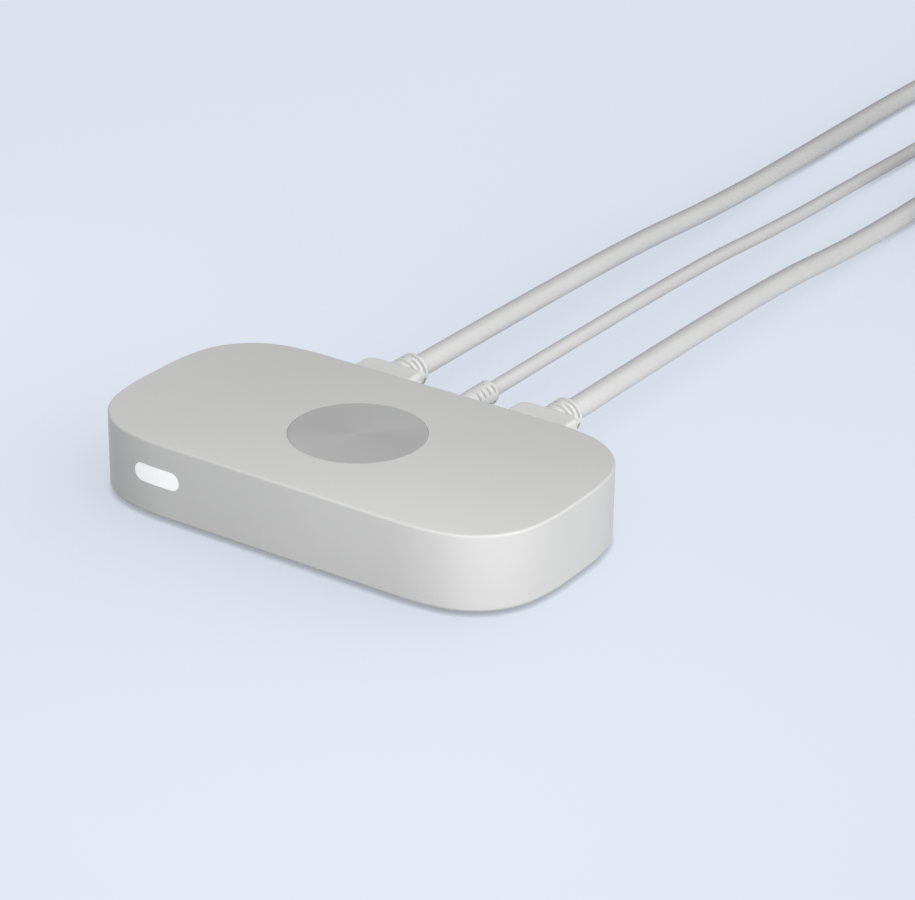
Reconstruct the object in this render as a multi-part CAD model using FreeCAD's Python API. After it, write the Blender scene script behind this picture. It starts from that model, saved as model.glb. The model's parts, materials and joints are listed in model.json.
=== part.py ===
import FreeCAD, Part
import math
import os

# Game capture device: a low rounded box that sits between a console and a
# screen, with two video leads and one thinner data lead plugged in behind.
# Millimetres. +X to the right, +Y to the back, +Z up, the surface at Z = 0.

vec = FreeCAD.Vector
UP = vec(0, 0, 1)
BACK = vec(0, 1, 0)

# Case, outside
case_length = 112.0
case_depth = 59.0
case_top = 18.5
easing_radius = 48.0
easing_turn = math.radians(12.0)
corner_radius = 18.5
top_edge_radius = 0.55
bottom_edge_radius = 1.0

# Case, inside
wall = 1.8
roof = 1.8
base_thickness = 2.4
foot_height = 0.8
fit = 0.15
slip = 0.05

# Round inlay in the lid
inlay_radius = 15.2
inlay_thickness = 0.6

# Status light in the front
light_end_inset = 24.05
light_z = 10.5
light_length = 12.4
light_height = 4.2
guide_length = 11.0
guide_depth = 3.0
led_size = (2.0, 1.0, 1.0)
led_pitch = 3.4
led_count = 3

# Case screws under the feet, set in from the case's ends and sides
boss_end_inset = 12.0
boss_side_inset = 12.0
boss_radius = 3.2
case_screw_radius = 1.2
case_screw_length = 9.0
case_head_radius = 2.3
case_head_height = 0.9
foot_radius = 5.0
foot_recess = 0.6
foot_edge_radius = 0.3

# Circuit board, on four posts. Each stands midway between the tab of a video
# socket and the board's end.
board_end_gap = 14.2
board_wall_gap = 2.0
board_thickness = 1.2
post_side_inset = 5.7
post_radius = 2.6
board_screw_radius = 1.0
board_screw_length = 3.6
board_head_radius = 1.9
board_head_height = 1.2
hex_key_share = 0.5
hex_key_depth_share = 0.6

# Ports in the back
port_height = 9.1
port_spacing = 21.0
mouth_setback = 0.9
plug_gap = 0.5
plug_play = 0.15
plug_sheet = 0.35
plug_embed = 3.0
tab_length = 5.0
tab_thickness = 0.6
tab_reach = 1.8

# Video connector: the plug's metal shell, and the tongue in its socket
video_width = 13.9
video_height = 4.45
video_side_drop = 0.3
video_corner_cut = 1.35
video_shell_reach = 11.9
video_socket_depth = 12.6
video_socket_sheet = 0.5
video_back_block = 1.9
video_tongue_size = (11.6, 1.5)
video_tongue_short = 1.6
video_slot_play = (0.3, 0.45)
video_slot_end = 2.0
video_pin_counts = (10, 9)
video_pin_pitch = 1.0
pin_width = 0.5
pin_thickness = 0.15
pin_margin = 0.4

# Data connector
data_width = 8.25
data_height = 2.4
data_shell_reach = 6.5
data_socket_depth = 7.4
data_socket_sheet = 0.4
data_back_block = 2.0
data_tongue_size = (6.6, 0.6)
data_tongue_short = 0.8
data_slot_play = (0.2, 0.2)
data_slot_end = 1.4

# Plug bodies and strain reliefs
video_body = (16.0, 15.0, 8.4)
video_rear_corner = 2.8
video_relief_length = 6.9
video_relief_radius = 4.1
video_rib_pitch = 1.75
video_rib_groove = 0.85
data_body = (12.0, 9.5, 6.4)
data_rear_corner = 2.6
data_relief_length = 12.1
data_relief_radius = 2.9
data_rib_pitch = 1.95
data_rib_groove = 0.75
front_corner = 1.2
body_edge_radius = 1.0
groove_depth_share = 0.17
relief_rim = 1.1
relief_lip_radius = 0.5

# Each ring groove of a relief, from the cord's end: how wide the spine over
# its top and bottom is, and how high the one along its sides, 0 for none
video_spines = [(0, 1.3), (1.2, 3.6), (0, 0)]
data_spines = 4 * [(2.0, 1.8)]

# Cords: diameter, full length, the room left between turns of a coil, and
# the share of a straight run that the bend at its end takes up
video_cord_diameter = 5.4
video_cord_length = 1500.0
data_cord_diameter = 3.7
data_cord_length = 1000.0
turn_gap = 0.6
bend_share = 0.45
video_tail_level = 8.0
video_tail_run = 30.0
data_tail_level = 6.0
data_tail_run = 24.0

# Ties round the coils
tie_thickness = 0.8
tie_width = 8.0
tie_gap = 0.1
tie_corner_radius = 1.5

# Where each cord lies between its plug and its coil, chosen by hand, and
# how far back each coil lies. The cords run level and straight back, then sink.
video_lie = tie_thickness + tie_gap + video_cord_diameter / 2
data_lie = tie_thickness + tie_gap + data_cord_diameter / 2
video_in_bends = [(-port_spacing, 140.0, port_height), (-port_spacing, 196.0, 5.2),
                  (-23.4, 252.0, 3.2), (-24.0, 310.0, 3.1), (-port_spacing, 366.0, video_lie)]
data_bends = [(0.0, 140.0, port_height), (0.0, 192.0, 5.4), (-1.8, 240.0, 2.9),
              (0.0, 288.0, data_lie)]
video_out_bends = [(port_spacing, 140.0, port_height), (port_spacing, 198.0, video_lie)]
video_in_coil_y = 422.0
data_coil_y = 338.0
video_out_coil_y = 256.0

# Turns of each coil: spiralling in, and spiralling out on the second layer.
# Between the two, half a turn climbs from one layer to the next.
video_in_turns = (2.5, 2.25)
data_turns = (2.5, 2.25)
video_out_turns = (3.0, 3.0)
climb_turns = 0.5

# Levels and places that follow from the sizes above
base_top = foot_height + base_thickness
roof_under = case_top - roof
back_face = case_depth / 2
data_socket_grow = plug_play + data_socket_sheet
video_socket_grow = plug_play + video_socket_sheet
board_top = port_height - data_height / 2 - data_socket_grow
board_under = board_top - board_thickness
board_half_depth = case_depth / 2 - wall - board_wall_gap
board_half_length = case_length / 2 - wall - board_end_gap
tab_end = port_spacing + video_width / 2 + video_socket_grow + tab_reach
light_x = light_end_inset - case_length / 2
socket_mouth = back_face - mouth_setback
plug_front = back_face + plug_gap


def four_places(x, y):
    """The same place in each quarter of the case."""
    return [(sx * x, sy * y) for sx in (-1, 1) for sy in (-1, 1)]


boss_places = four_places(case_length / 2 - boss_end_inset, case_depth / 2 - boss_side_inset)
post_places = four_places((tab_end + board_half_length) / 2, board_half_depth - post_side_inset)


def box(x0, x1, y0, y1, z0, z1):
    """Box between two corners."""
    return Part.makeBox(x1 - x0, y1 - y0, z1 - z0, vec(x0, y0, z0))


def block(centre, size, z0):
    """Box of the given length, depth and height, standing at z0."""
    length, depth, height = size
    x, y = centre
    return box(x - length / 2, x + length / 2, y - depth / 2, y + depth / 2, z0, z0 + height)


def rod(radius, x, y, z0, z1):
    """Upright cylinder."""
    return Part.makeCylinder(radius, z1 - z0, vec(x, y, z0), UP)


def loop(points):
    """Closed wire of straight sides through the points."""
    return Part.makePolygon(list(points) + [points[0]])


def unit(direction):
    """Copy of a vector with a length of one."""
    result = vec(direction)
    result.normalize()
    return result


def save(name, shape):
    """Write one sub-part, and say how many solids it holds."""
    shape = shape.removeSplitter() if len(shape.Solids) == 1 else shape
    shape.exportStep(os.path.join("parts", name + ".step"))
    flag = "" if shape.isValid() else "  NOT VALID"
    print(f"{name}: {len(shape.Solids)} solids, {shape.Volume:.2f} mm3{flag}")


def plan_wire(inset, z):
    """Case outline seen from above, drawn in by inset: each corner is a
    tight arc between two long easing arcs."""
    turn = easing_turn
    reach = easing_radius * (math.sin(turn) + 1 - math.cos(turn))
    reach += corner_radius * (math.cos(turn) - math.sin(turn))
    half_x = case_length / 2
    half_y = case_depth / 2
    ease = easing_radius - inset
    tight = corner_radius - inset
    step = easing_radius - corner_radius
    side_centre = (half_x - reach, half_y - easing_radius)
    end_centre = (half_x - easing_radius, half_y - reach)
    tight_centre = (side_centre[0] + step * math.sin(turn), side_centre[1] + step * math.cos(turn))

    def on_arc(centre, radius, angle):
        return (centre[0] + radius * math.sin(angle), centre[1] + radius * math.cos(angle))

    right = math.pi / 2
    corner = [on_arc(side_centre, ease, 0),
              on_arc(side_centre, ease, turn / 2),
              on_arc(side_centre, ease, turn),
              on_arc(tight_centre, tight, right / 2),
              on_arc(end_centre, ease, right - turn),
              on_arc(end_centre, ease, right - turn / 2),
              on_arc(end_centre, ease, right)]
    edges = []
    first = None
    last = None
    for sx, sy in ((1, 1), (1, -1), (-1, -1), (-1, 1)):
        points = [vec(sx * x, sy * y, z) for x, y in corner]
        if sx != sy:
            points.reverse()
        if last is None:
            first = points[0]
        else:
            edges.append(Part.LineSegment(last, points[0]).toShape())
        for start in (0, 2, 4):
            edges.append(Part.Arc(*points[start:start + 3]).toShape())
        last = points[-1]
    edges.append(Part.LineSegment(last, first).toShape())
    return Part.Wire(edges)


def plan_prism(inset, z0, z1):
    """Solid with the case's outline, drawn in by inset."""
    return Part.Face(plan_wire(inset, z0)).extrude(vec(0, 0, z1 - z0))


def stadium_wire(length, height, x, y, z):
    """Upright outline with round ends, facing front, about its centre."""
    radius = height / 2
    flat = length / 2 - radius
    left_top = vec(x - flat, y, z + radius)
    right_top = vec(x + flat, y, z + radius)
    right_low = vec(x + flat, y, z - radius)
    left_low = vec(x - flat, y, z - radius)
    edges = [Part.LineSegment(left_top, right_top).toShape(),
             Part.Arc(right_top, vec(x + flat + radius, y, z), right_low).toShape(),
             Part.LineSegment(right_low, left_low).toShape(),
             Part.Arc(left_low, vec(x - flat - radius, y, z), left_top).toShape()]
    return Part.Wire(edges)


def grown(points, grow):
    """Move each side of a convex outline, listed clockwise, out by grow."""
    result = []
    count = len(points)
    for i in range(count):
        here = points[i]
        normals = []
        for start, end in ((points[i - 1], here), (here, points[(i + 1) % count])):
            dx = end[0] - start[0]
            dz = end[1] - start[1]
            size = math.hypot(dx, dz)
            normals.append((-dz / size, dx / size))
        (ax, az), (bx, bz) = normals
        share = grow / (1 + ax * bx + az * bz)
        result.append((here[0] + (ax + bx) * share, here[1] + (az + bz) * share))
    return result


def video_outline(grow):
    """Video connector's outline: wide at the top, cut in at the lower corners."""
    half_x = video_width / 2
    half_z = video_height / 2
    low_x = half_x - video_corner_cut
    points = [(-half_x, half_z), (half_x, half_z), (half_x, -video_side_drop),
              (low_x, -half_z), (-low_x, -half_z), (-half_x, -video_side_drop)]
    return loop([vec(x, 0, z) for x, z in grown(points, grow)])


def data_outline(grow):
    """Data connector's outline: a flat bar with round ends."""
    return stadium_wire(data_width + 2 * grow, data_height + 2 * grow, 0, 0, 0)


def slab(outline, grow, y0, y1):
    """Solid of a connector's outline between two depths, about the Y axis."""
    face = Part.Face(outline(grow))
    face.translate(vec(0, y0, 0))
    return face.extrude(vec(0, y1 - y0, 0))


def at_port(shape, x):
    """Move a connector's piece from the Y axis to its port."""
    moved = shape.copy()
    moved.translate(vec(x, 0, port_height))
    return moved


ports = {"video_in": (video_outline, -port_spacing, video_socket_grow),
         "video_out": (video_outline, port_spacing, video_socket_grow),
         "data": (data_outline, 0.0, data_socket_grow)}


def screw(x, y, seat, direction, sizes):
    """Screw with its head on the seat and its shank along direction, a
    sixfold key hole in the head."""
    head_radius, head_height, shank_radius, length = sizes
    axis = vec(0, 0, direction)
    head = Part.makeCylinder(head_radius, head_height, vec(x, y, seat), axis * -1)
    shank = Part.makeCylinder(shank_radius, length, vec(x, y, seat), axis)
    key = head_radius * hex_key_share
    top = seat - direction * head_height
    turns = [math.radians(60 * i) for i in range(6)]
    corners = [vec(x + key * math.cos(a), y + key * math.sin(a), top) for a in turns]
    depth = head_height * hex_key_depth_share
    hole = Part.Face(loop(corners)).extrude(axis * depth)
    return head.fuse(shank).cut(hole)


# The case

def light_cutter(grow, y0, y1):
    """Solid of the status light's outline, through the front wall."""
    wire = stadium_wire(light_length + 2 * grow, light_height + 2 * grow, light_x, y0, light_z)
    return Part.Face(wire).extrude(vec(0, y1 - y0, 0))


def make_top_shell():
    """Lid and walls in one moulding, open below, with four screw bosses."""
    shell = plan_prism(0, foot_height, case_top)
    top_edges = [e for e in shell.Edges if all(v.Z > case_top - slip for v in e.Vertexes)]
    shell = shell.makeFillet(top_edge_radius, top_edges)
    low_edges = [e for e in shell.Edges if all(v.Z < foot_height + slip for v in e.Vertexes)]
    shell = shell.makeFillet(min(bottom_edge_radius, wall - fit), low_edges)
    shell = shell.cut(plan_prism(wall, foot_height - roof, roof_under))
    for x, y in boss_places:
        boss = rod(boss_radius, x, y, base_top, case_top - roof / 2)
        hole_top = foot_height + foot_recess + case_head_height + case_screw_length + fit
        hole = rod(case_screw_radius + slip, x, y, base_top, hole_top)
        shell = shell.fuse(boss).cut(hole)
    shell = shell.cut(light_cutter(slip, -case_depth / 2 - wall, -case_depth / 2 + 2 * wall))
    for outline, x, grow in ports.values():
        gap = slab(outline, grow + fit, back_face - 2 * wall, back_face + wall)
        shell = shell.cut(at_port(gap, x))
    recess = rod(inlay_radius + slip, 0, 0, case_top - inlay_thickness, case_top + roof)
    return shell.cut(recess)


def make_base_plate():
    """Plate in the mouth of the shell, with the posts that carry the board."""
    plate = plan_prism(wall + fit, foot_height, base_top)
    for x, y in post_places:
        plate = plate.fuse(rod(post_radius, x, y, base_top - slip, board_under))
    pilot_low = board_top - board_screw_length - fit
    for x, y in post_places:
        plate = plate.cut(rod(board_screw_radius + slip, x, y, pilot_low, board_under))
    head_seat = foot_height + foot_recess + case_head_height
    for x, y in boss_places:
        plate = plate.cut(rod(foot_radius + slip, x, y, 0, foot_height + foot_recess))
        plate = plate.cut(rod(case_head_radius + fit, x, y, 0, head_seat))
        plate = plate.cut(rod(case_screw_radius + fit, x, y, 0, base_top))
    return plate


def make_foot(x, y):
    """Rubber foot, set in the plate over a screw."""
    foot = rod(foot_radius, x, y, 0, foot_height + foot_recess)
    rim = [e for e in foot.Edges if e.Closed and e.Vertexes[0].Z < slip]
    return foot.makeFillet(foot_edge_radius, rim)


def make_case_screws():
    """Screws from below into the bosses."""
    sizes = (case_head_radius, case_head_height, case_screw_radius, case_screw_length)
    seat = foot_height + foot_recess + case_head_height
    return Part.makeCompound([screw(x, y, seat, 1, sizes) for x, y in boss_places])


def make_light_lens():
    """Window that fills the slot and follows the wall's curve."""
    bar = light_cutter(0, -case_depth / 2 - wall, -case_depth / 2 + 2 * wall)
    skin = plan_prism(0, foot_height, case_top).cut(plan_prism(wall, 0, case_top + roof))
    return bar.common(skin)


def make_light_guide():
    """Clear block that carries the light forward to the window."""
    back = guide_back()
    low = board_top + slip
    size = (guide_length, guide_depth + wall, light_z + light_height / 2 - low)
    middle = back - size[1] / 2
    guide = block((light_x, middle), size, low)
    return guide.common(plan_prism(wall + slip, 0, case_top))


def guide_back():
    """Depth of the guide's back face, where the lamps shine in."""
    return -board_half_depth + guide_depth / 2 - slip


def make_leds():
    """Row of small lamps behind the guide."""
    length, depth, height = led_size
    middle = (led_count - 1) / 2
    y = guide_back() + slip + depth / 2
    places = [(light_x + (i - middle) * led_pitch, y) for i in range(led_count)]
    return Part.makeCompound([block(place, led_size, board_top) for place in places])


# The board and what it carries

def make_board():
    """Circuit board, notched at the back for the two video sockets."""
    board = box(-board_half_length, board_half_length, -board_half_depth, board_half_depth,
                board_under, board_top)
    notch_half = video_width / 2 + video_socket_grow + fit
    notch_front = socket_mouth - video_socket_depth - fit
    for side in (-1, 1):
        x = side * port_spacing
        board = board.cut(box(x - notch_half, x + notch_half, notch_front, back_face,
                              board_under, board_top))
    for x, y in post_places:
        board = board.cut(rod(board_screw_radius + fit, x, y, board_under, board_top))
    return board


def make_board_screws():
    """Screws that hold the board on its posts."""
    sizes = (board_head_radius, board_head_height, board_screw_radius, board_screw_length)
    return Part.makeCompound([screw(x, y, board_top, -1, sizes) for x, y in post_places])


# Chips and other parts on the board: places in plan, and sizes
spreader_centre = (0.0, -3.0)
spreader_size = (40.0, 22.0, 1.5)
spreader_leg = 3.0
pad_thickness = 1.0
processor_size = (15.0, 15.0, 1.5)
memory_size = (8.0, 12.0, 1.0)
memory_offset = 15.0
pad_margin = 0.5
signal_chips = [((-25.5, 8.0), (9.0, 9.0, 1.0)),
                ((25.0, 8.0), (7.0, 7.0, 1.0)),
                ((0.0, 14.0), (6.0, 6.0, 0.9))]
inductor_insets = [(10.0, 15.7), (10.0, 9.2), (4.0, 15.7)]
inductor_size = (5.0, 5.0, 2.8)
inductor_edge = 0.8
capacitor_size = (1.6, 0.8, 0.8)
capacitor_inset = 8.2
capacitor_pitch = 4.0
capacitor_count = 9
crystal_place = (9.5, 12.5)
crystal_size = (3.2, 2.5, 0.8)


def memory_places():
    """A memory chip on each side of the processor."""
    x, y = spreader_centre
    return [(x - memory_offset, y), (x + memory_offset, y)]


def make_inductors():
    """Coils in square cases for the power supply."""
    cases = []
    for end_inset, front_inset in inductor_insets:
        place = (board_half_length - end_inset, front_inset - board_half_depth)
        case = block(place, inductor_size, board_top)
        upright = [e for e in case.Edges if abs(e.BoundBox.ZLength - inductor_size[2]) < slip]
        cases.append(case.makeChamfer(inductor_edge, upright))
    return Part.makeCompound(cases)


def make_capacitors():
    """Row of small capacitors in front of the heat spreader."""
    middle = (capacitor_count - 1) / 2
    row_y = capacitor_inset - board_half_depth
    row = [block(((i - middle) * capacitor_pitch, row_y), capacitor_size, board_top)
           for i in range(capacitor_count)]
    return Part.makeCompound(row)


def make_thermal_pads():
    """Soft pads between the chips and the spreader."""
    under = board_top + processor_size[2] + pad_thickness
    chips = [(spreader_centre, processor_size)]
    chips += [(place, memory_size) for place in memory_places()]
    pads = []
    for place, (length, depth, height) in chips:
        top = board_top + height
        size = (length - pad_margin, depth - pad_margin, under - top)
        pads.append(block(place, size, top))
    return Part.makeCompound(pads)


def make_heat_spreader():
    """Aluminium plate over the hot chips, on four legs."""
    under = board_top + processor_size[2] + pad_thickness
    x, y = spreader_centre
    spreader = block(spreader_centre, spreader_size, under)
    dx = (spreader_size[0] - spreader_leg) / 2
    dy = (spreader_size[1] - spreader_leg) / 2
    leg = (spreader_leg, spreader_leg, under - board_top)
    for sx in (-1, 1):
        for sy in (-1, 1):
            spreader = spreader.fuse(block((x + sx * dx, y + sy * dy), leg, board_top))
    return spreader


# Sockets

def make_video_socket_shell(x):
    """Sheet metal sleeve in the board's notch, held by a tab on each side."""
    rear = socket_mouth - video_socket_depth
    sleeve = slab(video_outline, video_socket_grow, rear, socket_mouth)
    middle = rear + video_socket_depth / 2
    tab_z = board_top - port_height
    tab_half = tab_end - port_spacing
    tabs = box(-tab_half, tab_half, middle - tab_length / 2, middle + tab_length / 2,
               tab_z, tab_z + tab_thickness)
    return at_port(sleeve.fuse(tabs).cut(slab(video_outline, plug_play, rear, socket_mouth)), x)


def make_video_tongue(x):
    """Insulating tongue that carries the contacts, with its back block."""
    rear = socket_mouth - video_socket_depth
    root = rear + video_back_block
    width, height = video_tongue_size
    tip = socket_mouth - video_tongue_short
    back_part = slab(video_outline, plug_play - slip, rear, root)
    tongue = box(-width / 2, width / 2, root - slip, tip, -height / 2, height / 2)
    return at_port(back_part.fuse(tongue), x)


def make_video_contacts(x):
    """Flat contacts on both faces of the tongue."""
    root = socket_mouth - video_socket_depth + video_back_block + pin_margin
    tip = socket_mouth - video_tongue_short - pin_margin
    half = video_tongue_size[1] / 2
    pins = []
    for count, low in zip(video_pin_counts, (half, -half - pin_thickness)):
        for i in range(count):
            pin_x = (i - (count - 1) / 2) * video_pin_pitch
            pins.append(box(pin_x - pin_width / 2, pin_x + pin_width / 2, root, tip,
                            low, low + pin_thickness))
    return at_port(Part.makeCompound(pins), x)


def make_data_socket_shell():
    """Sheet metal sleeve that stands on the board."""
    rear = socket_mouth - data_socket_depth
    sleeve = slab(data_outline, data_socket_grow, rear, socket_mouth)
    return at_port(sleeve.cut(slab(data_outline, plug_play, rear, socket_mouth)), 0)


def make_data_tongue():
    """Thin tongue in the data socket, with its back block."""
    rear = socket_mouth - data_socket_depth
    root = rear + data_back_block
    width, height = data_tongue_size
    tip = socket_mouth - data_tongue_short
    back_part = slab(data_outline, plug_play - slip, rear, root)
    tongue = box(-width / 2, width / 2, root - slip, tip, -height / 2, height / 2)
    return at_port(back_part.fuse(tongue), 0)


# Plugs. Each is made about the Y axis, with the front face of its moulded
# body at Y = 0 and the cord leaving towards +Y.

def make_plug_shell(kind):
    """Metal shell that enters the socket and reaches into the body."""
    outer = slab(kind["outline"], 0, -kind["shell_reach"], plug_embed)
    return outer.cut(slab(kind["outline"], -plug_sheet, -kind["shell_reach"], plug_embed))


def make_plug_core(kind):
    """Insulator in the metal shell, slotted for the socket's tongue."""
    front = -kind["shell_reach"] + 2 * plug_sheet
    core = slab(kind["outline"], -plug_sheet - slip, front, plug_embed)
    half_x = kind["tongue"][0] / 2 + kind["slot_play"][0]
    half_z = kind["tongue"][1] / 2 + kind["slot_play"][1]
    slot = box(-half_x, half_x, front, -kind["slot_end"], -half_z, half_z)
    return core.cut(slot)


def body_plan(width, length, rear_corner, z):
    """Plan of a plug body: small corners at the front, large ones behind."""
    half = width / 2
    diagonal = 1 - math.sqrt(0.5)
    front = front_corner
    rear = rear_corner
    right = [(half - front, 0), (half - front * diagonal, front * diagonal), (half, front),
             (half, length - rear),
             (half - rear * diagonal, length - rear * diagonal), (half - rear, length)]
    points = [vec(x, y, z) for x, y in right]
    mirrored = [vec(-p.x, p.y, p.z) for p in reversed(points)]
    edges = [Part.Arc(*points[0:3]).toShape(),
             Part.LineSegment(points[2], points[3]).toShape(),
             Part.Arc(*points[3:6]).toShape(),
             Part.LineSegment(points[5], mirrored[0]).toShape(),
             Part.Arc(*mirrored[0:3]).toShape(),
             Part.LineSegment(mirrored[2], mirrored[3]).toShape(),
             Part.Arc(*mirrored[3:6]).toShape(),
             Part.LineSegment(mirrored[5], points[0]).toShape()]
    return Part.Wire(edges)


def make_plug_body(kind):
    """Moulded grip with rounded edges, and a pocket for the metal shell."""
    width, length, height = kind["body"]
    plan = body_plan(width, length, kind["rear_corner"], -height / 2)
    body = Part.Face(plan).extrude(vec(0, 0, height))
    flat_edges = [e for e in body.Edges if e.BoundBox.ZLength < slip]
    body = body.makeFillet(body_edge_radius, flat_edges)
    return body.cut(slab(kind["outline"], slip, 0, plug_embed))


def make_strain_relief(kind):
    """Round neck between the body and the cord. Grooves, some of them broken
    by spines, let it bend."""
    length = kind["relief_length"]
    radius = kind["relief_radius"]
    start = kind["body"][1]
    floor = radius * (1 - 2 * groove_depth_share)
    relief = Part.makeCylinder(radius, length, vec(0, start, 0), BACK)
    end_rim = [e for e in relief.Edges if e.Closed and e.Vertexes[0].Y > start + length - slip]
    relief = relief.makeFillet(relief_lip_radius, end_rim)
    groove = kind["rib_groove"]
    reach = radius + groove
    for i, (top_spine, side_spine) in enumerate(kind["spines"]):
        y = start + length - relief_rim - groove - i * kind["rib_pitch"]
        ring = Part.makeCylinder(reach, groove, vec(0, y, 0), BACK)
        ring = ring.cut(Part.makeCylinder(floor, groove, vec(0, y, 0), BACK))
        if top_spine > 0:
            ring = ring.cut(box(-top_spine / 2, top_spine / 2, y, y + groove, -reach, reach))
        if side_spine > 0:
            ring = ring.cut(box(-reach, reach, y, y + groove, -side_spine / 2, side_spine / 2))
        relief = relief.cut(ring)
    return relief


video_kind = {"outline": video_outline, "shell_reach": video_shell_reach,
              "tongue": video_tongue_size, "slot_play": video_slot_play,
              "slot_end": video_slot_end, "body": video_body,
              "rear_corner": video_rear_corner, "relief_length": video_relief_length,
              "relief_radius": video_relief_radius, "rib_pitch": video_rib_pitch,
              "rib_groove": video_rib_groove, "spines": video_spines,
              "cord": video_cord_diameter, "cord_length": video_cord_length,
              "tail_level": video_tail_level, "tail_run": video_tail_run,
              "lie": video_lie}
data_kind = {"outline": data_outline, "shell_reach": data_shell_reach,
             "tongue": data_tongue_size, "slot_play": data_slot_play,
             "slot_end": data_slot_end, "body": data_body,
             "rear_corner": data_rear_corner, "relief_length": data_relief_length,
             "relief_radius": data_relief_radius, "rib_pitch": data_rib_pitch,
             "rib_groove": data_rib_groove, "spines": data_spines,
             "cord": data_cord_diameter, "cord_length": data_cord_length,
             "tail_level": data_tail_level, "tail_run": data_tail_run,
             "lie": data_lie}


def plug_length(kind):
    """From the front face of the body to where the cord starts."""
    return kind["body"][1] + kind["relief_length"]


# Cords

def arc_from(start, heading, end):
    """Arc that leaves start along heading and ends at end."""
    chord = end - start
    along = unit(chord)
    half_turn = heading.getAngle(along)
    if half_turn < 1e-6:
        return Part.LineSegment(start, end).toShape()
    side = unit(heading - along * heading.dot(along))
    middle = start + chord * 0.5 + side * (chord.Length / 2 * math.tan(half_turn / 2))
    return Part.Arc(start, middle, end).toShape()


def biarc(start, heading, end, end_heading):
    """Two arcs that join two points and keep both headings."""
    chord = end - start
    across = chord.dot(heading + end_heading)
    spread = 1 - heading.dot(end_heading)
    if spread < 1e-9:
        reach = chord.dot(chord) / (2 * across)
    else:
        root = math.sqrt(across * across + 2 * spread * chord.dot(chord))
        reach = (root - across) / (2 * spread)
    middle = (start + heading * reach + end - end_heading * reach) * 0.5
    first = arc_from(start, heading, middle)
    turned = arc_from(end, end_heading * -1, middle)
    back_middle = turned.valueAt((turned.FirstParameter + turned.LastParameter) / 2)
    second = Part.Arc(middle, back_middle, end).toShape()
    return [first, second]


def bent_path(points, name):
    """Straight runs joined by tangent arcs, as large as the runs allow."""
    edges = []
    here = points[0]
    radii = []
    for before, corner, after in zip(points, points[1:], points[2:]):
        into = unit(corner - before)
        out = unit(after - corner)
        run = min((corner - before).Length, (after - corner).Length)
        half_turn = into.getAngle(out) / 2
        cut = bend_share * run
        radii.append(cut / math.tan(half_turn))
        start = corner - into * cut
        end = corner + out * cut
        edges.append(Part.LineSegment(here, start).toShape())
        edges.append(arc_from(start, into, end))
        here = end
    edges.append(Part.LineSegment(here, points[-1]).toShape())
    print(f"{name}: bend radii " + ", ".join(f"{r:.0f}" for r in radii) + " mm")
    return edges


def sweep_tube(edges, diameter, name):
    """Round tube along a path, its volume held against section x length."""
    path = Part.Wire(edges)
    start = edges[0].Vertexes[0].Point
    heading = edges[0].tangentAt(edges[0].FirstParameter)
    ring = Part.Wire(Part.Circle(start, heading, diameter / 2).toShape())
    tube = path.makePipeShell([ring], True, False)
    length = sum(e.Length for e in edges)
    expected = length * math.pi * diameter ** 2 / 4
    print(f"{name}: {length:.1f} mm long, volume is {tube.Volume / expected:.4f} of expected")
    return tube


def coil_stations(centre, inner, pitch, layer, turns):
    """Points and headings at each quarter turn of a two-layer coil that
    runs clockwise from its left side: in, half a turn up, and out again."""
    turns_in, turns_out = turns
    total = turns_in + climb_turns + turns_out
    stations = []
    for quarter in range(round(total * 4) + 1):
        done = quarter / 4
        into_climb = done - turns_in
        if into_climb <= 0:
            radius = inner - into_climb * pitch
            slope = -pitch
            height = 0
            rise = 0
        elif into_climb < climb_turns:
            radius = inner - climb_turns / 2 * pitch
            slope = 0
            height = layer / 2
            rise = layer * math.pi
        else:
            radius = inner + (into_climb - climb_turns) * pitch
            slope = pitch
            height = layer
            rise = 0
        if quarter == 0 or done == total:
            slope = 0
        angle = math.pi - 2 * math.pi * done
        outward = vec(math.cos(angle), math.sin(angle), 0)
        onward = vec(math.sin(angle), -math.cos(angle), 0)
        heading = outward * slope + onward * (2 * math.pi * radius) + vec(0, 0, rise)
        stations.append((centre + outward * radius + vec(0, 0, height), unit(heading)))
    return stations


def least_gap(edges, diameter, name):
    """Smallest gap between parts of the tube that are not next to each other."""
    step = 1.5
    points = []
    for edge in edges:
        count = max(2, round(edge.Length / step) + 1)
        points += [tuple(p) for p in edge.discretize(count)[:-1]]
    skip = round(3 * diameter / step)
    least = float("inf")
    for i, (ax, ay, az) in enumerate(points):
        for bx, by, bz in points[i + skip:]:
            square = (ax - bx) ** 2 + (ay - by) ** 2 + (az - bz) ** 2
            if square < least:
                least = square
    print(f"{name}: least gap between turns {math.sqrt(least) - diameter:.2f} mm")


def make_tie(centre, inner_edge, outer_edge, height):
    """Strap round all the turns, at the coil's front."""
    half = tie_width / 2
    low = tie_thickness
    near = math.sqrt(inner_edge ** 2 - half ** 2) - tie_gap
    far = outer_edge + tie_gap
    high = low + height + 2 * tie_gap
    x0 = centre.x - half
    x1 = centre.x + half
    strap = box(x0, x1, centre.y - far - tie_thickness, centre.y - near + tie_thickness,
                0, high + tie_thickness)
    long_edges = [e for e in strap.Edges if abs(e.BoundBox.XLength - tie_width) < slip]
    strap = strap.makeFillet(tie_corner_radius, long_edges)
    return strap.cut(box(x0, x1, centre.y - far, centre.y - near, low, high))


def place_far_plug(shape, kind, cord_end, heading):
    """Lay a plug on the surface where the cord ends, its front onward."""
    moved = shape.copy()
    turn = FreeCAD.Rotation(BACK, heading * -1)
    front = cord_end + heading * plug_length(kind)
    moved.Placement = FreeCAD.Placement(front, turn)
    return moved


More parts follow.
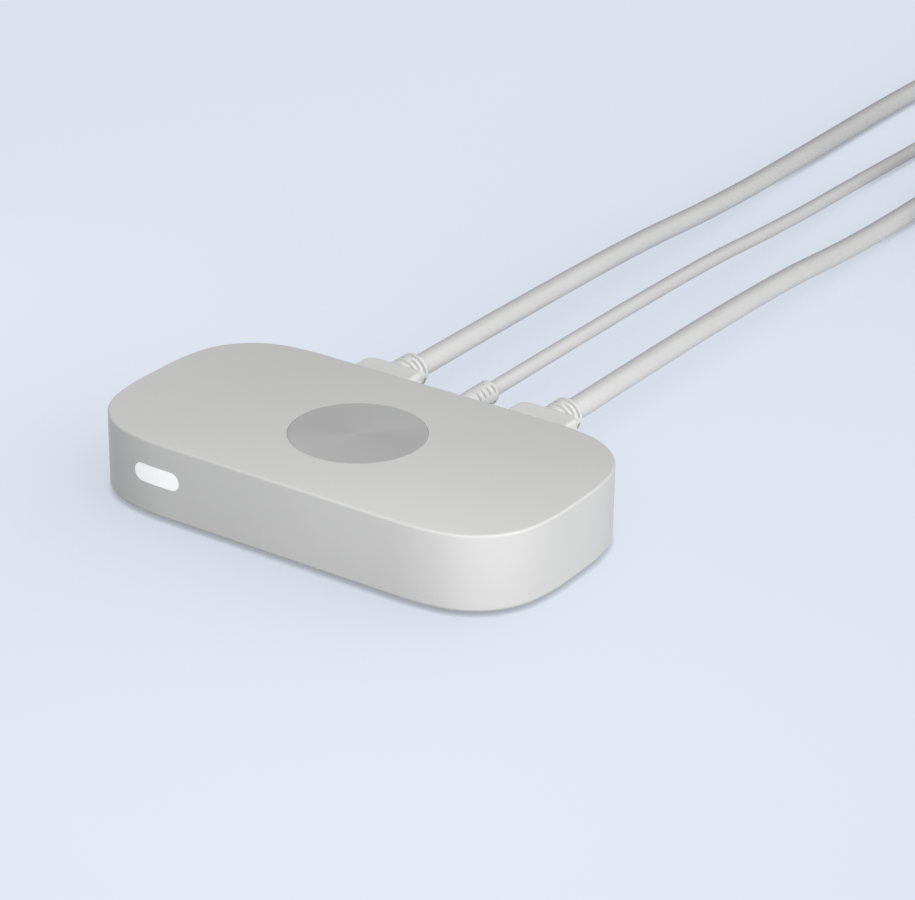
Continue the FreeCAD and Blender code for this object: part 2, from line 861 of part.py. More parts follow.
def make_lead(name, kind, bends, coil_y, turns):
    """A whole lead: plug, free cord, tied coil and the plug at its far end."""
    x = ports[name][1]
    radius = kind["cord"] / 2
    pitch = kind["cord"] + turn_gap
    near_place = vec(x, plug_front, port_height)
    for piece, maker in (("plug_shell", make_plug_shell), ("plug_core", make_plug_core),
                         ("plug_body", make_plug_body), ("strain_relief", make_strain_relief)):
        shape = maker(kind)
        near = shape.copy()
        near.translate(near_place)
        save(f"{name}_{piece}", near)
    coil_z = kind["lie"]
    exit_point = vec(x, plug_front + plug_length(kind), port_height)
    entry = vec(x, coil_y - kind["cord"], coil_z)
    free = bent_path([exit_point] + [vec(*p) for p in bends] + [entry], name + "_cord")
    save(name + "_cord", sweep_tube(free, kind["cord"], name + "_cord"))

    free_length = sum(e.Length for e in free)
    ends = 2 * kind["cord"] + kind["tail_level"] + kind["tail_run"]
    total = turns[0] + climb_turns + turns[1]
    mid_radius = (kind["cord_length"] - free_length - ends) / (2 * math.pi * total)
    inner = mid_radius - pitch * (turns[0] ** 2 + turns[1] ** 2) / (2 * total)
    outer = inner + pitch * turns[0]
    centre = vec(x + outer, coil_y, coil_z)
    stations = coil_stations(centre, inner, pitch, pitch, turns)
    wound = [Part.LineSegment(entry, stations[0][0]).toShape()]
    for (start, heading), (end, end_heading) in zip(stations, stations[1:]):
        wound += biarc(start, heading, end, end_heading)
    last, heading = stations[-1]
    over = last + heading * kind["tail_level"]
    wound.append(Part.LineSegment(last, over).toShape())
    drop = vec(0, 0, kind["body"][2] / 2 - last.z)
    landed = over + heading * kind["tail_run"] + drop
    wound += biarc(over, heading, landed, heading)
    cord_end = landed + heading * kind["cord"]
    wound.append(Part.LineSegment(landed, cord_end).toShape())
    save(name + "_coil", sweep_tube(wound, kind["cord"], name + "_coil"))
    least_gap(wound, kind["cord"], name + "_coil")
    whole = free_length + sum(e.Length for e in wound)
    print(f"{name}: cord {whole:.0f} mm long, coil centre {centre.x:.1f}, {centre.y:.1f}, "
          f"inner {inner:.2f}, outer {outer:.2f}, ends {tuple(cord_end)}")

    inner_edge = inner - climb_turns / 2 * pitch - radius
    save(name + "_tie", make_tie(centre, inner_edge, outer + radius, pitch + kind["cord"]))
    for piece, maker in (("far_plug_shell", make_plug_shell), ("far_plug_core", make_plug_core),
                         ("far_plug_body", make_plug_body),
                         ("far_strain_relief", make_strain_relief)):
        save(f"{name}_{piece}", place_far_plug(maker(kind), kind, cord_end, heading))


def make_device():
    """The box itself and everything in it."""
    save("top_shell", make_top_shell())
    save("base_plate", make_base_plate())
    save("rubber_feet", Part.makeCompound([make_foot(x, y) for x, y in boss_places]))
    save("case_screws", make_case_screws())
    inlay_low = case_top - inlay_thickness
    save("lid_inlay", rod(inlay_radius, 0, 0, inlay_low, case_top))
    save("status_light_lens", make_light_lens())
    save("light_guide", make_light_guide())
    save("status_leds", make_leds())
    save("main_board", make_board())
    save("board_screws", make_board_screws())
    save("video_processor", block(spreader_centre, processor_size, board_top))
    save("memory_chips", Part.makeCompound([block(place, memory_size, board_top)
                                            for place in memory_places()]))
    save("signal_chips", Part.makeCompound([block(place, size, board_top)
                                            for place, size in signal_chips]))
    save("power_inductors", make_inductors())
    save("capacitors", make_capacitors())
    save("clock_crystal", block(crystal_place, crystal_size, board_top))
    save("thermal_pads", make_thermal_pads())
    save("heat_spreader", make_heat_spreader())
    for name in ("video_in", "video_out"):
        x = ports[name][1]
        save(name + "_socket_shell", make_video_socket_shell(x))
        save(name + "_socket_tongue", make_video_tongue(x))
        save(name + "_socket_contacts", make_video_contacts(x))
    save("data_socket_shell", make_data_socket_shell())
    save("data_socket_tongue", make_data_tongue())


def main():
    """Write every sub-part."""
    os.makedirs("parts", exist_ok=True)
    make_device()
    make_lead("video_in", video_kind, video_in_bends, video_in_coil_y, video_in_turns)
    make_lead("data", data_kind, data_bends, data_coil_y, data_turns)
    make_lead("video_out", video_kind, video_out_bends, video_out_coil_y, video_out_turns)


main()
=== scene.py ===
import json
import math
import bpy
from mathutils import Matrix, Vector


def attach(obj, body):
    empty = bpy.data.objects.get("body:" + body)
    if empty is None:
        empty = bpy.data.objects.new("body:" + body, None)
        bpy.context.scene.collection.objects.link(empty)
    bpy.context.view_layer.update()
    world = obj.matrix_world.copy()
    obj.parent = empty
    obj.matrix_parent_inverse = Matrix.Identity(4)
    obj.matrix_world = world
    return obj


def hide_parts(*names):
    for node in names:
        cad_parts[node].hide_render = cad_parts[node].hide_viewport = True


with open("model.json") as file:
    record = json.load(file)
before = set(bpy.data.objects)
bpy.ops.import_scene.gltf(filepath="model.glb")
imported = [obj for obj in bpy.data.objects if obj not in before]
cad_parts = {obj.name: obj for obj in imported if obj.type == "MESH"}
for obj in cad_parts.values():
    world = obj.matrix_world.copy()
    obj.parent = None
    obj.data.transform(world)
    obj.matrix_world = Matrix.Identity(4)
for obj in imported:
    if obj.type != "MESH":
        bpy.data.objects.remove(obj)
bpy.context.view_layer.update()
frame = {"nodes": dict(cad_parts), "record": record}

# Looks of a game capture device with its three leads. Blender works in
# metres, so what is given in millimetres is multiplied by MM.
MM = 0.001
scene = bpy.context.scene
nodes = frame["nodes"]

# Camera, as it stood for the photograph
camera_azimuth = math.radians(33.523)
camera_elevation = math.radians(25.651)
camera_roll = math.radians(1.001)
camera_distance = 690.577 * MM
camera_target = Vector((0.882, 37.566, 0)) * MM
camera_lens = 119.92
camera_sensor = 36.0


def add_camera():
    """Camera at the photograph's angle, with its small roll."""
    cos_up = math.cos(camera_elevation)
    back = Vector((math.sin(camera_azimuth) * cos_up, -math.cos(camera_azimuth) * cos_up,
                   math.sin(camera_elevation)))
    level = Vector((math.cos(camera_azimuth), math.sin(camera_azimuth), 0))
    upright = back.cross(level)
    right = level * math.cos(camera_roll) + upright * math.sin(camera_roll)
    top = upright * math.cos(camera_roll) - level * math.sin(camera_roll)
    camera = bpy.data.cameras.new("camera")
    camera.lens = camera_lens
    camera.sensor_width = camera_sensor
    holder = bpy.data.objects.new("camera", camera)
    scene.collection.objects.link(holder)
    turn = Matrix((right, top, back)).transposed().to_4x4()
    holder.matrix_world = Matrix.Translation(camera_target + back * camera_distance) @ turn
    scene.camera = holder


# Materials

class Nodes:
    """A node tree, with short calls for the nodes used here."""

    def __init__(self, tree):
        self.tree = tree

    def add(self, kind, **settings):
        node = self.tree.nodes.new(kind)
        for key, value in settings.items():
            setattr(node, key, value)
        return node

    def join(self, output, node, socket):
        self.tree.links.new(output, node.inputs[socket])

    def seen_ray(self):
        """One for rays from the camera, straight, mirrored or through glass."""
        path = self.add("ShaderNodeLightPath")
        seen = path.outputs["Is Camera Ray"]
        for ray in ("Is Glossy Ray", "Is Transmission Ray"):
            either = self.add("ShaderNodeMath", operation="MAXIMUM")
            self.join(seen, either, 0)
            self.join(path.outputs[ray], either, 1)
            seen = either.outputs[0]
        return seen


class Shader(Nodes):
    """A material's node tree."""

    def __init__(self, name):
        self.material = bpy.data.materials.new(name)
        self.material.use_nodes = True
        super().__init__(self.material.node_tree)
        self.main = self.tree.nodes["Principled BSDF"]
        self.place = self.add("ShaderNodeTexCoord").outputs["Object"]

    def stretched(self, factors):
        """Object coordinates multiplied along each axis."""
        mapping = self.add("ShaderNodeMapping")
        mapping.inputs["Scale"].default_value = factors
        self.join(self.place, mapping, "Vector")
        return mapping.outputs["Vector"]

    def noise(self, size, detail=3.0, factors=None):
        """Noise with features of the given size."""
        node = self.add("ShaderNodeTexNoise")
        node.inputs["Scale"].default_value = 1.0 / size
        node.inputs["Detail"].default_value = detail
        self.join(self.stretched(factors) if factors else self.place, node, "Vector")
        return node.outputs["Fac"]

    def spread(self, value, low, high, from_low=0.3, from_high=0.7):
        """Value moved from its usual band to the one from low to high."""
        node = self.add("ShaderNodeMapRange")
        for socket, number in (("From Min", from_low), ("From Max", from_high),
                               ("To Min", low), ("To Max", high)):
            node.inputs[socket].default_value = number
        self.join(value, node, "Value")
        return node.outputs["Result"]

    def blend(self, factor, first, second):
        """Colour between two colours."""
        node = self.add("ShaderNodeMix", data_type="RGBA")
        node.inputs[6].default_value = (*first, 1)
        node.inputs[7].default_value = (*second, 1)
        self.join(factor, node, 0)
        return node.outputs[2]

    def bump(self, height, strength, depth):
        """Fine relief from a height, depth in metres."""
        node = self.add("ShaderNodeBump")
        node.inputs["Strength"].default_value = strength
        node.inputs["Distance"].default_value = depth
        self.join(height, node, "Height")
        self.join(node.outputs["Normal"], self.main, "Normal")


def shade(colour, lift):
    """Colour made lighter or darker by a share."""
    return tuple(min(1.0, max(0.0, part * (1 + lift))) for part in colour)


plastic_gloss_change = 0.03


def moulded(name, colour, rough, grain=0.35 * MM, depth=0.006 * MM, mottle=0.03,
            patch=18 * MM, coat=0.0):
    """Plastic, rubber, ceramic or lacquer: faint clouding, a fine grain and
    slightly uneven gloss."""
    look = Shader(name)
    clouds = look.noise(patch, 2.0)
    look.join(look.blend(look.spread(clouds, 0, 1), shade(colour, -mottle), shade(colour, mottle)),
              look.main, "Base Color")
    grit = look.noise(grain, 2.0)
    wear = look.noise(patch / 3, 4.0)
    look.join(look.spread(wear, rough - plastic_gloss_change, rough + plastic_gloss_change),
              look.main, "Roughness")
    look.bump(grit, 0.5, depth)
    look.main.inputs["Coat Weight"].default_value = coat
    return look.material


metal_patch = 6 * MM
metal_gloss_change = 0.05
metal_darker = -0.06
metal_lighter = 0.04


def metal(name, colour, rough, factors=None, grain=0.2 * MM, depth=0.002 * MM):
    """Plated, milled or brushed metal, its grain drawn out by factors."""
    look = Shader(name)
    look.main.inputs["Metallic"].default_value = 1.0
    grit = look.noise(grain, factors=factors)
    look.join(look.blend(look.spread(grit, 0, 1), shade(colour, metal_darker),
                         shade(colour, metal_lighter)), look.main, "Base Color")
    wear = look.noise(metal_patch)
    look.join(look.spread(wear, rough - metal_gloss_change, rough + metal_gloss_change),
              look.main, "Roughness")
    look.bump(grit, 0.4, depth)
    return look.material


window_patch = 2 * MM
window_tones = ((0.86, 0.87, 0.88), (0.9, 0.91, 0.92))
window_light = (0.96, 0.98, 1.0, 1)
window_glow = 0.25


def lit_window():
    """Milky window, lit evenly from behind."""
    look = Shader("light_window")
    look.join(look.blend(look.noise(window_patch, 1.0), *window_tones), look.main, "Base Color")
    look.main.inputs["Roughness"].default_value = 0.35
    look.main.inputs["Emission Color"].default_value = window_light
    look.main.inputs["Emission Strength"].default_value = window_glow
    return look.material


ring_pitch = 0.28 * MM
ring_depth = 0.004 * MM
ring_tones = ((0.63, 0.63, 0.635), (0.71, 0.71, 0.71))
ring_gloss = (0.36, 0.44)
ring_patch = 0.5 * MM
wave_pitch_at_scale_one = math.pi / 10


def spun_metal():
    """Satin disc turned on a lathe: fine rings round its centre."""
    look = Shader("inlay_metal")
    look.main.inputs["Metallic"].default_value = 0.6
    look.main.inputs["Anisotropic"].default_value = 0.7
    rings = look.add("ShaderNodeTexWave", wave_type="RINGS", rings_direction="Z")
    rings.inputs["Scale"].default_value = wave_pitch_at_scale_one / ring_pitch
    rings.inputs["Distortion"].default_value = 0.4
    look.join(look.place, rings, "Vector")
    look.join(look.blend(rings.outputs["Fac"], *ring_tones), look.main, "Base Color")
    look.join(look.spread(look.noise(ring_patch), *ring_gloss), look.main, "Roughness")
    look.bump(rings.outputs["Fac"], 0.5, ring_depth)
    grain = look.add("ShaderNodeTangent", direction_type="RADIAL", axis="Z")
    look.join(grain.outputs[0], look.main, "Tangent")
    return look.material


loop_size = 0.55 * MM
fibre_size = 0.22 * MM
pile_depth = 0.12 * MM
pile_tones = ((0.5, 0.5, 0.495), (0.7, 0.7, 0.69))


def strap_fabric():
    """Loop side of a hook-and-loop strap: a dense pile of short fibres."""
    look = Shader("tie_fabric")
    cells = look.add("ShaderNodeTexVoronoi")
    cells.inputs["Scale"].default_value = 1 / loop_size
    look.join(look.place, cells, "Vector")
    fibres = look.noise(fibre_size, 4.0)
    look.join(look.blend(look.spread(fibres, 0, 1), *pile_tones), look.main, "Base Color")
    look.main.inputs["Roughness"].default_value = 0.95
    look.main.inputs["Sheen Weight"].default_value = 0.3
    both = look.add("ShaderNodeMath", operation="ADD")
    look.join(cells.outputs["Distance"], both, 0)
    look.join(fibres, both, 1)
    look.bump(both.outputs[0], 0.6, pile_depth)
    return look.material


case_colour = (0.61, 0.61, 0.605)
base_colour = (0.50, 0.50, 0.50)
plug_colour = (0.745, 0.745, 0.741)
jacket_colour = (0.68, 0.68, 0.676)


def make_materials():
    """One material for each slot of the record."""
    return {
        "case_plastic": moulded("case_plastic", case_colour, 0.45, mottle=0.012, patch=30 * MM),
        "base_plastic": moulded("base_plastic", base_colour, 0.6, depth=0.012 * MM),
        "foot_rubber": moulded("foot_rubber", (0.05, 0.05, 0.05), 0.8),
        "screw_steel": metal("screw_steel", (0.42, 0.42, 0.42), 0.35),
        "inlay_metal": spun_metal(),
        "light_window": lit_window(),
        "guide_plastic": moulded("guide_plastic", (0.85, 0.88, 0.9), 0.15),
        "led_plastic": moulded("led_plastic", (0.85, 0.83, 0.6), 0.3),
        "board_green": moulded("board_green", (0.015, 0.09, 0.045), 0.35, coat=0.3),
        "chip_black": moulded("chip_black", (0.022, 0.022, 0.024), 0.55),
        "inductor_grey": moulded("inductor_grey", (0.07, 0.07, 0.075), 0.7),
        "capacitor_tan": moulded("capacitor_tan", (0.35, 0.24, 0.14), 0.5),
        "can_metal": metal("can_metal", (0.6, 0.6, 0.58), 0.3),
        "pad_grey": moulded("pad_grey", (0.28, 0.33, 0.38), 0.75),
        "spreader_aluminium": metal("spreader_aluminium", (0.7, 0.7, 0.71), 0.35, (1, 12, 1)),
        "connector_steel": metal("connector_steel", (0.55, 0.55, 0.54), 0.34, depth=0.0003 * MM),
        "connector_black": moulded("connector_black", (0.02, 0.02, 0.02), 0.5),
        "contact_gold": metal("contact_gold", (0.83, 0.58, 0.22), 0.25),
        "plug_plastic": moulded("plug_plastic", plug_colour, 0.45),
        "cord_jacket": moulded("cord_jacket", jacket_colour, 0.42, grain=0.5 * MM, mottle=0.02),
        "tie_fabric": strap_fabric(),
    }


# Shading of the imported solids

smooth_slots = ("case_plastic", "base_plastic", "plug_plastic", "connector_steel")
join_angle = math.radians(12)
flat_angle = math.radians(0.1)
same_place = 0.0005 * MM
normal_digits = 4


def smooth_joins(piece):
    """Shade evenly where two faces of a solid run into each other: at the
    join a curved face takes over a flat one's normals, and two curved ones
    share their mean."""
    mesh = piece.data
    before = [corner.vector.copy() for corner in mesh.corner_normals]
    meetings = {}
    for face in mesh.polygons:
        flat = all(before[i].angle(face.normal, 0) < flat_angle for i in face.loop_indices)
        for i in face.loop_indices:
            place = mesh.vertices[mesh.loops[i].vertex_index].co
            key = tuple(round(number / same_place) for number in place)
            meetings.setdefault(key, []).append((i, flat))
    after = list(before)
    for corners in meetings.values():
        kinds = {tuple(round(number, normal_digits) for number in before[i]): flat
                 for i, flat in corners}
        if len(kinds) < 2:
            continue
        for i, flat in corners:
            if not flat:
                near = [kind for kind in kinds if Vector(kind).angle(before[i], 0) < join_angle]
                kept = [kind for kind in near if kinds[kind]] or near
                after[i] = sum((Vector(kind) for kind in kept), Vector()).normalized()
    mesh.normals_split_custom_set(after)


# Cords: the routes that the part's own cords take, in millimetres

port_height = 9.1
port_spacing = 21.0
coil_lift = 0.9
turn_gap = 0.6
climb_turns = 0.5
steps_per_turn = 16
tail_ease = 0.2
cord_steps = 8
cord_facets = 6

# A cord starts where its strain relief ends. The turns of its coil close in
# to the lead's inner radius, to the cord's middle. Past them it stays level
# for its level, comes down over its run and ends at the height of its land.
video_cord = {"diameter": 5.4, "length": 1500.0, "level": 8.0, "run": 30.0, "land": 4.2,
              "start": 51.9}
data_cord = {"diameter": 3.7, "length": 1000.0, "level": 6.0, "run": 24.0, "land": 3.2,
             "start": 51.6}
leads = {
    "video_in": {
        "cord": video_cord, "x": -port_spacing, "coil_y": 422.0, "inner": 26.47,
        "turns": (2.5, 2.25),
        "bends": [(-21.0, 140.0, 9.1), (-21.0, 196.0, 5.2), (-23.4, 252.0, 3.2),
                  (-24.0, 310.0, 3.1), (-21.0, 366.0, 3.6)]},
    "data": {
        "cord": data_cord, "x": 0.0, "coil_y": 338.0, "inner": 15.97,
        "turns": (2.5, 2.25),
        "bends": [(0.0, 140.0, 9.1), (0.0, 192.0, 5.4), (-1.8, 240.0, 2.9),
                  (0.0, 288.0, 2.75)]},
    "video_out": {
        "cord": video_cord, "x": port_spacing, "coil_y": 256.0, "inner": 22.36,
        "turns": (3.0, 3.0),
        "bends": [(21.0, 140.0, 9.1), (21.0, 198.0, 3.6)]},
}


def coil_points(lead):
    """Turns of a lead's coil: in on the lower layer, half a turn up, and
    out again on the upper one, then the tail that comes down to the plug."""
    cord = lead["cord"]
    pitch = cord["diameter"] + turn_gap
    turns_in, turns_out = lead["turns"]
    total = turns_in + climb_turns + turns_out
    outer = lead["inner"] + pitch * turns_in
    centre = Vector((lead["x"] + outer, lead["coil_y"], coil_lift + cord["diameter"] / 2))
    swell = 1 / math.cos(math.pi / steps_per_turn)
    points = []
    for step in range(round(total * steps_per_turn)):
        done = (step + 0.5) / steps_per_turn
        climbed = min(max(done - turns_in, 0), climb_turns)
        spare = max(turns_in - done, done - turns_in - climb_turns)
        fold = min(climbed, climb_turns - climbed)
        radius = (lead["inner"] + pitch * (spare if spare > 0 else -fold)) * swell
        height = pitch * (1 - math.cos(math.pi * climbed / climb_turns)) / 2
        angle = math.pi - 2 * math.pi * done
        points.append(centre + Vector((radius * math.cos(angle), radius * math.sin(angle), height)))
    angle = math.pi - 2 * math.pi * total
    radius = lead["inner"] + pitch * turns_out
    onward = Vector((round(math.sin(angle)), -round(math.cos(angle)), 0))
    side = Vector((round(math.cos(angle)), round(math.sin(angle)), 0))
    last = centre + side * radius + Vector((0, 0, pitch))
    fall = Vector((0, 0, cord["land"] - last.z))
    over = last + onward * cord["level"]
    landed = over + onward * cord["run"] + fall
    ease = onward * cord["run"] * tail_ease
    points += [over + ease, landed - ease, landed + onward * cord["diameter"]]
    return points


def add_cord(name, lead, look):
    """One smooth line from the plug to the far end. Its curve, of the second
    degree, touches each run of its route at the middle."""
    cord = lead["cord"]
    start = Vector((lead["x"], cord["start"], port_height))
    route = [start] + [Vector(p) for p in lead["bends"]] + coil_points(lead)
    curve = bpy.data.curves.new(name + "_lead_cord", "CURVE")
    curve.dimensions = "3D"
    curve.resolution_u = cord_steps
    curve.bevel_depth = cord["diameter"] / 2 * MM
    curve.bevel_resolution = cord_facets
    curve.use_fill_caps = True
    line = curve.splines.new("NURBS")
    line.points.add(len(route) - 1)
    for point, place in zip(line.points, route):
        point.co = (*(place * MM), 1)
    line.order_u = 3
    line.use_endpoint_u = True
    curve.materials.append(look)
    piece = bpy.data.objects.new(name + "_lead_cord", curve)
    scene.collection.objects.link(piece)
    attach(piece, name + "_lead")
    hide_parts(name + "_cord", name + "_coil")


# Pieces made here in place of plain solids, in millimetres

crease_angle = math.radians(40)


def new_piece(name, points, faces, body, stands_for, look):
    """Smooth-shaded mesh, given in millimetres, that rides on a body."""
    mesh = bpy.data.meshes.new(name)
    mesh.from_pydata([Vector(p) * MM for p in points], [], faces)
    mesh.materials.append(look)
    mesh.polygons.foreach_set("use_smooth", [True] * len(mesh.polygons))
    mesh.set_sharp_from_angle(angle=crease_angle)
    piece = bpy.data.objects.new(name, mesh)
    scene.collection.objects.link(piece)
    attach(piece, body)
    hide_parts(stands_for)
    return piece


def swept(rings):
    """Points and faces of a tube through closed rings, closed at both ends."""
    count = len(rings[0])
    points = [p for ring in rings for p in ring]
    faces = [tuple(reversed(range(count)))]
    for i in range(len(rings) - 1):
        for j in range(count):
            k = (j + 1) % count
            low = i * count
            faces.append((low + j, low + k, low + count + k, low + count + j))
    faces.append(tuple(range(len(points) - count, len(points))))
    return points, faces


def walk(corners, radius, steps=6):
    """Points along straight runs whose corners are rounded off: those of a
    corner lie halfway between its chord and a bulge out to the corner."""
    line = [corners[0]]
    for before, corner, after in zip(corners, corners[1:], corners[2:]):
        into = (corner - before).normalized()
        out = (after - corner).normalized()
        turn = into.angle(out)
        cut = radius * math.tan(turn / 2)
        start = corner - into * cut
        end = corner + out * cut
        for i in range(steps + 1):
            share = i / steps
            flat = start.lerp(end, share)
            bulge = corner.lerp((start + end) / 2, 1 - 4 * share * (1 - share))
            line.append(flat.lerp(bulge, 0.5) if 0 < i < steps else flat)
    line.append(corners[-1])
    return line


def spaced(line, step):
    """The same line, with points about a step apart."""
    points = [line[0]]
    for here, there in zip(line, line[1:]):
        count = max(1, round((there - here).length / step))
        points += [here.lerp(there, (i + 1) / count) for i in range(count)]
    return points


def lengths_to_end(line):
    """How far each point of a line lies from its last one, along it."""
    lengths = [0.0]
    for here, there in zip(reversed(line), reversed(line[:-1])):
        lengths.append(lengths[-1] + (there - here).length)
    lengths.reverse()
    return lengths


# A strap starts on top of the turns, at a share of its way across them, and
# climbs a ramp to lap that start with its tab. The insets and drops of its
# rounded edge are shares of the selvage.
tie_thickness = 0.8
tie_width = 8.0
tie_gap = 0.1
tie_skin = 0.72
tie_lap_gap = 0.04
tie_start = 0.55
tie_ramp = 2.5
tie_end_inset = 2.6
tie_bend = 1.1
tie_step = 0.7
tie_tab = 3.0
tie_tab_thinning = 0.8
tie_selvage = 0.16
tie_edge = ((0, 1), (0.3, 0.3), (1, 0))


def tie_route(lead):
    """Middle line of a strap, in the plane across the turns: from under its
    end, out, round below and inside them, and back over its own start."""
    cord = lead["cord"]
    radius = cord["diameter"] / 2
    pitch = cord["diameter"] + turn_gap
    outer = lead["inner"] + pitch * lead["turns"][0]
    inner_edge = lead["inner"] - climb_turns / 2 * pitch - radius
    near = math.sqrt(inner_edge ** 2 - (tie_width / 2) ** 2) - tie_gap
    far = outer + radius + tie_gap
    x = lead["x"] + outer
    mid = tie_skin / 2
    back = lead["coil_y"] - near + mid
    front = lead["coil_y"] - far - mid
    low = tie_thickness - mid
    high = tie_thickness + pitch + cord["diameter"] + 2 * tie_gap + mid
    lap = high + tie_skin + tie_lap_gap
    start = front + (back - front) * tie_start
    corners = [Vector((x, y, z)) for y, z in (
        (start, high), (front, high), (front, low), (back, low), (back, high),
        (start + tie_ramp, high), (start, lap), (front + tie_end_inset, lap))]
    return spaced(walk(corners, tie_bend), tie_step)


def add_tie(name, lead, look):
    """Hook-and-loop strap round the turns, its end rounded and lapped over
    the top."""
    route = tie_route(lead)
    to_end = lengths_to_end(route)
    across = Vector((1, 0, 0))
    rings = []
    for i, place in enumerate(route):
        along = (route[min(i + 1, len(route) - 1)] - route[max(i - 1, 0)]).normalized()
        outward = along.cross(across)
        lost = max(0.0, 1 - to_end[i] / tie_tab)
        wide = tie_width / 2 - tie_tab * (1 - math.sqrt(max(0.0, 1 - lost ** 2)))
        thin = tie_skin / 2 * (tie_tab_thinning if lost else 1)
        ring = []
        for side, face in ((-1, -1), (1, -1), (1, 1), (-1, 1)):
            for inset, drop in tie_edge if side * face > 0 else tie_edge[::-1]:
                ring.append(place + across * side * (wide - inset * tie_selvage)
                            + outward * face * (thin - drop * tie_selvage))
        rings.append(ring)
    points, faces = swept(rings)
    return new_piece(name + "_tie_strap", points, faces, name + "_lead",
                     name + "_tie", look)


# The disc's profile: radius, or inset from its edge, and height over the lid
inlay_radius = 15.2
inlay_thickness = 0.6
inlay_dish = [(0.0, -0.06), (inlay_radius / 3, -0.058), (inlay_radius / 1.6, -0.05)]
inlay_rim = [(1.9, -0.04), (1.2, -0.03), (0.75, 0.0), (0.12, 0.0), (0.04, -0.015), (0.01, -0.05),
             (0.0, -0.1), (0.0, -inlay_thickness)]
inlay_sides = 160
case_top = 18.5


def add_inlay(look):
    """Spun metal disc, dished a little, with a bevelled rim."""
    profile = inlay_dish + [(inlay_radius - inset, height) for inset, height in inlay_rim]
    points = [(0, 0, case_top + profile[0][1])]
    for radius, height in profile[1:]:
        for i in range(inlay_sides):
            angle = 2 * math.pi * i / inlay_sides
            points.append((radius * math.cos(angle), radius * math.sin(angle), case_top + height))
    faces = [(0, 1 + i, 1 + (i + 1) % inlay_sides) for i in range(inlay_sides)]
    for row in range(len(profile) - 2):
        low = 1 + row * inlay_sides
        high = low + inlay_sides
        for i in range(inlay_sides):
            j = (i + 1) % inlay_sides
            faces.append((low + i, high + i, high + j, low + j))
    low = 1 + (len(profile) - 2) * inlay_sides
    faces.append(tuple(low + i for i in reversed(range(inlay_sides))))
    return new_piece("lid_inlay_disc", points, faces, "device", "lid_inlay", look)


# Floor and light, in metres

# The camera sees floor_colour, and floor_bounce lights the object. The floor's
# glow carries a painted shadow, darkest close to what touches it, and wider on
# the side of the object that side_lean points away from.
floor_reach = 6.0
floor_colour = (0.756, 0.803, 0.9)
floor_bounce = (0.5, 0.5, 0.5)
floor_glow = 0.9
touch_reach = 0.0014
touch_painted_shade = 0.4
side_reach = 0.1
side_painted_shade = 0.76
side_lean = (0.55, 0.55, 0.63)


def painted_floor_shadow(look, reach, darkest, lean=None):
    """Painted shadow for the floor's glow near the object, darkest where they touch."""
    nearness = look.add("ShaderNodeAmbientOcclusion", samples=4)
    nearness.inputs["Distance"].default_value = reach
    if lean:
        leaning = look.add("ShaderNodeCombineXYZ")
        for axis in range(3):
            leaning.inputs[axis].default_value = lean[axis]
        look.join(leaning.outputs["Vector"], nearness, "Normal")
    return look.spread(nearness.outputs["AO"], darkest, 1, 0, 1)


def add_floor():
    """Plain pale floor: its lit share keeps the object's real shadow, and its glow a painted one.
    """
    mesh = bpy.data.meshes.new("floor")
    mesh.from_pydata([(x * floor_reach, y * floor_reach, 0)
                      for x, y in ((-1, -1), (1, -1), (1, 1), (-1, 1))], [], [(0, 1, 2, 3)])
    floor = bpy.data.objects.new("floor", mesh)
    scene.collection.objects.link(floor)
    look = Shader("floor_paint")
    seen = look.seen_ray()
    look.join(look.blend(seen, floor_bounce, floor_colour), look.main, "Base Color")
    look.main.inputs["Roughness"].default_value = 0.9
    look.main.inputs["Specular IOR Level"].default_value = 0.1
    glow = look.add("ShaderNodeEmission")
    glow.inputs["Color"].default_value = (*floor_colour, 1)
    # The glow is dimmed by painted shadow near the object and wider to one side.
    painted_dimming = look.add("ShaderNodeMath", operation="MULTIPLY")
    look.join(painted_floor_shadow(look, touch_reach, touch_painted_shade), painted_dimming, 0)
    look.join(painted_floor_shadow(look, side_reach, side_painted_shade, side_lean), painted_dimming, 1)
    look.join(painted_dimming.outputs[0], glow, "Strength")
    share = look.add("ShaderNodeMath", operation="MULTIPLY")
    look.join(seen, share, 0)
    share.inputs[1].default_value = floor_glow
    both = look.add("ShaderNodeMixShader")
    look.join(share.outputs[0], both, 0)
    look.join(look.main.outputs[0], both, 1)
    look.join(glow.outputs[0], both, 2)
    look.join(both.outputs[0], look.tree.nodes["Material Output"], "Surface")
    mesh.materials.append(look.material)


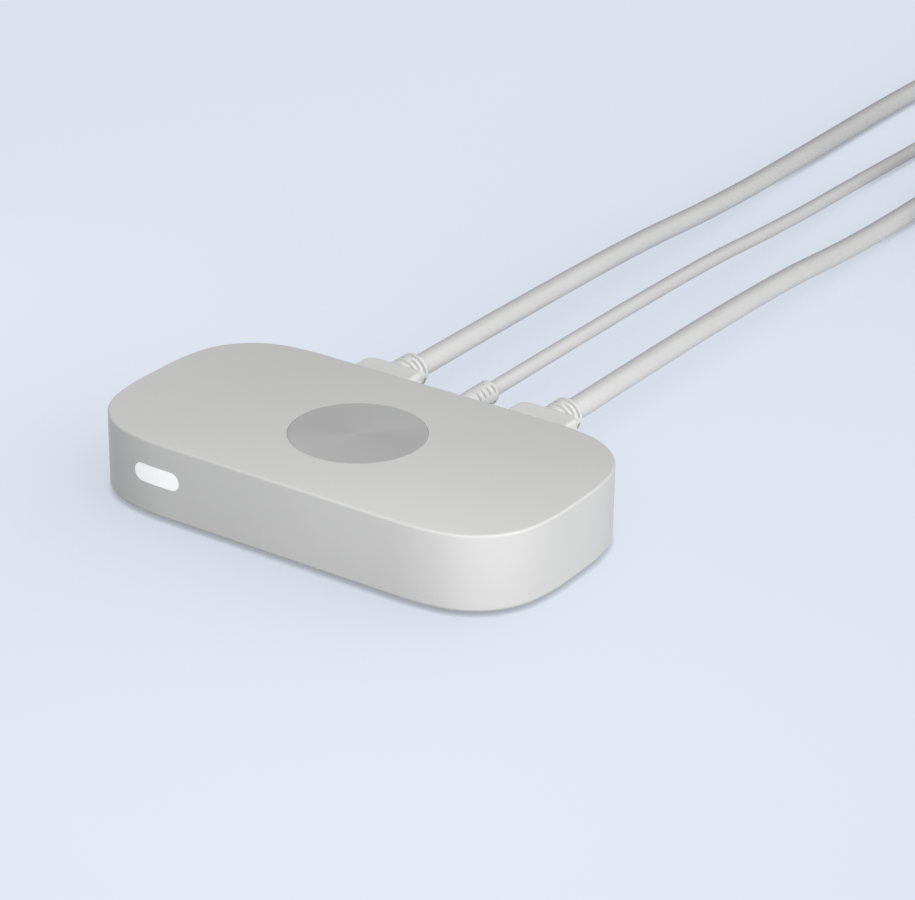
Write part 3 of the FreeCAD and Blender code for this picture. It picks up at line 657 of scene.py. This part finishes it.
# Azimuth and elevation in degrees, distance, level
lamps = {
    "right": (12, 20, 2.0, 0.62),
    "back": (-60, 40, 2.0, 0.1),
    "near_front": (57, 45, 0.21, 0.51),
    "near_left": (180, 22, 0.2, 0.19),
}
lamp_spread = 0.6
mirrored_from = 1.0


def add_lamp(name, azimuth, elevation, distance, level):
    """Soft square lamp, turned to the object. Azimuth runs from the right
    towards the front, and a white sheet facing it shows the level given.
    Only the far ones are mirrored in what is glossy."""
    lamp = bpy.data.lights.new(name, "AREA")
    lamp.shape = "SQUARE"
    lamp.size = lamp_spread * distance
    lamp.energy = level * (math.pi * distance) ** 2
    holder = bpy.data.objects.new(name, lamp)
    a = math.radians(azimuth)
    e = math.radians(elevation)
    towards = Vector((math.cos(a) * math.cos(e), -math.sin(a) * math.cos(e), math.sin(e)))
    holder.location = towards * distance
    holder.rotation_euler = (-towards).to_track_quat("-Z", "Y").to_euler()
    holder.visible_camera = False
    holder.visible_glossy = distance > mirrored_from
    scene.collection.objects.link(holder)


studio_level = 0.3
studio_seen = 0.4


def add_light():
    """Pale studio: far soft lamps, near ones that grade the lid, and even
    surroundings."""
    world = bpy.data.worlds.new("studio")
    world.use_nodes = True
    sky = Nodes(world.node_tree)
    glow = sky.tree.nodes["Background"]
    glow.inputs["Color"].default_value = (1, 1, 1, 1)
    level = sky.add("ShaderNodeMapRange")
    level.inputs["To Min"].default_value = studio_level
    level.inputs["To Max"].default_value = studio_seen
    sky.join(sky.seen_ray(), level, "Value")
    sky.join(level.outputs["Result"], glow, "Strength")
    scene.world = world
    for name, (azimuth, elevation, distance, strength) in lamps.items():
        add_lamp(name, azimuth, elevation, distance, strength)


def main():
    """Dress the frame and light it."""
    looks = make_materials()
    for row in frame["record"]["subparts"]:
        node = nodes[row["node"]]
        if row["material_slot"] in smooth_slots:
            smooth_joins(node)
        node.data.materials.clear()
        node.data.materials.append(looks[row["material_slot"]])
    for name, lead in leads.items():
        tie = add_tie(name, lead, looks["tie_fabric"])
        add_cord(name, lead, looks["cord_jacket"])
    add_inlay(looks["inlay_metal"])
    add_floor()
    add_light()
    add_camera()
    scene.view_settings.view_transform = "Standard"


main()
